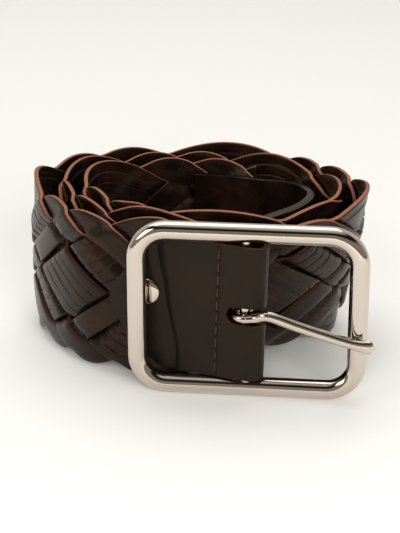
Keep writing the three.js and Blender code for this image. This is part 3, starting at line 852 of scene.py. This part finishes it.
billet_bm = bmesh.new()
bmesh.ops.create_grid(billet_bm, x_segments=160, y_segments=80, size=1)
for vert in billet_bm.verts:
    along = billet_start + (vert.co.x + 1) / 2 * billet_length
    up = vert.co.y * billet_half_height
    tip = max(along - billet_end + billet_half_height, 0) / billet_half_height
    vert.co = (along, up * math.sqrt(1 - min(tip, 0.996) ** 2), 0)
holes = []
for face in billet_bm.faces:
    middle = face.calc_center_median()
    if any(math.hypot(middle.x - hole, middle.y) < billet_hole / 2 for hole in billet_holes):
        holes.append(face)
bmesh.ops.delete(billet_bm, geom=holes, context="FACES")
for vert in billet_bm.verts:
    nearest = min(billet_holes, key=lambda hole: abs(vert.co.x - hole))
    away = math.hypot(vert.co.x - nearest, vert.co.y)
    if vert.is_boundary and away < billet_hole:
        stretch = billet_hole / 2 / away
        vert.co.x = nearest + (vert.co.x - nearest) * stretch
        vert.co.y *= stretch
for vert in billet_bm.verts:
    vert.co = on_belt(vert.co.x, vert.co.y, float(billet_out(vert.co.x)))
for face in billet_bm.faces:
    face.smooth = True
billet = finished(billet_bm, "billet_leather_piece", braid_leather)
billet_wall = billet.modifiers.new("wall", "SOLIDIFY")
billet_wall.thickness = billet_thickness * MM
billet_wall.offset = 0
billet_round = billet.modifiers.new("edges", "BEVEL")
billet_round.width = 0.4 * MM
billet_round.segments = 2
billet_round.limit_method = "ANGLE"
billet_round.angle_limit = math.radians(50)
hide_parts("billet")
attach(billet, "belt")
billet_back = -(turn_spacing / 2 + seat + billet_thickness)
turned_rivet("rivet_in_billet", "billet_rivet", billet_rivet_along, 0, turn_spacing / 2, billet_back)

# Buckle frame: a rounded rectangle bent from 6.9 mm round rod, with a thinner bar down its middle.
# It is cast, polished and chrome plated, so it mirrors the floor and the soft box.
chrome = nickel.copy()
chrome.name = "polished_chrome_plate"
frame_size = (84, 64)
frame_rod = 6.9
frame_corner = 14
bar_rod = 5
frame_turn = math.radians(-6.5)
on_buckle = Matrix.Translation(pivot) @ Matrix.Rotation(frame_turn, 4, "Z") @ Matrix.Scale(MM, 4)
rod_side = frame_size[0] / 2 - frame_rod / 2
rod_top = frame_size[1] / 2 - frame_rod / 2
bend = frame_corner - frame_rod / 2
frame_bm = bmesh.new()
ring = bmesh.ops.create_circle(frame_bm, segments=32, radius=frame_rod / 2)["verts"]
bmesh.ops.translate(frame_bm, verts=ring, vec=(rod_side, 0, 0))
last = list({edge for vert in ring for edge in vert.link_edges})


def run_on(edges, step):
    made = bmesh.ops.extrude_edge_only(frame_bm, edges=edges)["geom"]
    bmesh.ops.translate(frame_bm, verts=[v for v in made if isinstance(v, bmesh.types.BMVert)], vec=step)
    return [e for e in made if isinstance(e, bmesh.types.BMEdge) and e.is_boundary]


def bend_round(edges, centre):
    made = bmesh.ops.spin(
        frame_bm,
        geom=edges,
        cent=centre,
        axis=(0, -1, 0),
        angle=math.pi / 2,
        steps=14,
        use_duplicate=False,
    )["geom_last"]
    return [e for e in made if isinstance(e, bmesh.types.BMEdge)]


inner_side, inner_top = rod_side - bend, rod_top - bend
last = run_on(last, (0, 0, inner_top))
last = bend_round(last, (inner_side, 0, inner_top))
last = run_on(last, (-2 * inner_side, 0, 0))
last = bend_round(last, (-inner_side, 0, inner_top))
last = run_on(last, (0, 0, -2 * inner_top))
last = bend_round(last, (-inner_side, 0, -inner_top))
last = run_on(last, (2 * inner_side, 0, 0))
last = bend_round(last, (inner_side, 0, -inner_top))
last = run_on(last, (0, 0, inner_top))
bmesh.ops.remove_doubles(frame_bm, verts=frame_bm.verts, dist=1e-3)
bmesh.ops.create_cone(
    frame_bm,
    segments=28,
    radius1=bar_rod / 2,
    radius2=bar_rod / 2,
    depth=2 * rod_top,
)
bmesh.ops.recalc_face_normals(frame_bm, faces=frame_bm.faces)
bmesh.ops.transform(frame_bm, matrix=on_buckle, verts=frame_bm.verts)
for face in frame_bm.faces:
    face.smooth = True
buckle = finished(frame_bm, "chrome_frame", chrome)
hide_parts("buckle_frame")
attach(buckle, "frame")

# Prong: a rod bent into a thinner ring round the bar, with a hump and a long slope to a flat tip.
# The tip rests on the front of the frame's right side.
prong_rod = 3.8
prong_hump = 2.6
prong_drop = 7.8
prong_sag = 1.5
prong_tip = 5
prong_overhang = 2.6
ring_rod = 2.8
eye = bar_rod / 2 + seat + prong_rod / 2
ring_eye = bar_rod / 2 + seat + ring_rod / 2
rest = -(frame_rod / 2 + seat + prong_rod / 2)
prong_points = np.array(
    [
        (0, -ring_eye, 0),
        (rod_side * 0.1, -ring_eye - 0.15, prong_hump * 0.25),
        (rod_side * 0.21, -eye - 1, prong_hump * 0.8),
        (rod_side * 0.45, -eye - 1, prong_hump - prong_drop * 0.45),
        (rod_side * 0.75, rest - 0.2, prong_hump - prong_drop * 0.9),
        (rod_side, rest, prong_hump - prong_drop * 1.25),
        (frame_size[0] / 2 + prong_overhang, rest, prong_hump - prong_drop * 1.38),
    ]
)
prong_points[:, 2] -= prong_sag


def prong_place(share):
    spans = len(prong_points) - 1
    padded = np.vstack([2 * prong_points[0] - prong_points[1], prong_points])
    padded = np.vstack([padded, 2 * prong_points[-1] - prong_points[-2]])
    span = min(int(share * spans), spans - 1)
    t = share * spans - span
    a, b, c, d = padded[span : span + 4]
    return 0.5 * (2 * b + (c - a) * t + (2 * a - 5 * b + 4 * c - d) * t**2 + (3 * b - a - 3 * c + d) * t**3)


prong_rings = []
round_turn = np.linspace(0, 2 * np.pi, 24, endpoint=False)
shares = np.concatenate([np.linspace(0, 0.94, 60), np.linspace(0.945, 0.999, 14)])
for share in shares:
    middle = prong_place(share)
    heading = prong_place(min(share + 0.002, 1)) - prong_place(max(share - 0.002, 0))
    heading /= np.linalg.norm(heading)
    outward = np.array([0, 1, 0]) - heading * heading[1]
    outward /= np.linalg.norm(outward)
    upward = np.cross(heading, outward)
    flat = float(smooth(share, 0.78, 0.95))
    close = math.sqrt(max(1 - float(smooth(share, 0.93, 1.0)) ** 2 * 0.96, 0))
    rod = (ring_rod + (prong_rod - ring_rod) * float(smooth(share, 0, 0.3))) / 2
    tall = (rod + (prong_tip / 2 - rod) * flat) * close
    thick = rod * (1 - 0.2 * flat) * close
    prong_rings.append(
        middle
        + np.outer(np.cos(round_turn) * thick, outward)
        + np.outer(np.sin(round_turn) * tall, upward)
    )
prong_rings = np.array(prong_rings) * MM
prong_matrix = np.array(Matrix.Translation(pivot) @ Matrix.Rotation(frame_turn, 4, "Z"))
prong_rings = prong_rings @ prong_matrix[:3, :3].T + prong_matrix[:3, 3]
shank = tube(prong_rings, "chrome_prong_shank", chrome)
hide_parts("prong")
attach(shank, "prong")
ring_bm = bmesh.new()
ring = bmesh.ops.create_circle(ring_bm, segments=24, radius=ring_rod / 2)["verts"]
bmesh.ops.rotate(ring_bm, verts=ring, cent=(0, 0, 0), matrix=Matrix.Rotation(math.pi / 2, 3, "X"))
bmesh.ops.translate(ring_bm, verts=ring, vec=(ring_eye, 0, 0))
ring_edges = list({edge for vert in ring for edge in vert.link_edges})
bmesh.ops.spin(
    ring_bm,
    geom=ring + ring_edges,
    cent=(0, 0, 0),
    axis=(0, 0, 1),
    angle=2 * math.pi,
    steps=36,
    use_merge=True,
)
bmesh.ops.remove_doubles(ring_bm, verts=ring_bm.verts, dist=1e-4)
bmesh.ops.recalc_face_normals(ring_bm, faces=ring_bm.faces)
on_bar = on_buckle @ Matrix.Translation((0, 0, -prong_sag))
bmesh.ops.transform(ring_bm, matrix=on_bar, verts=ring_bm.verts)
for face in ring_bm.faces:
    face.smooth = True
prong_ring = finished(ring_bm, "chrome_prong_ring", chrome)
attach(prong_ring, "prong")
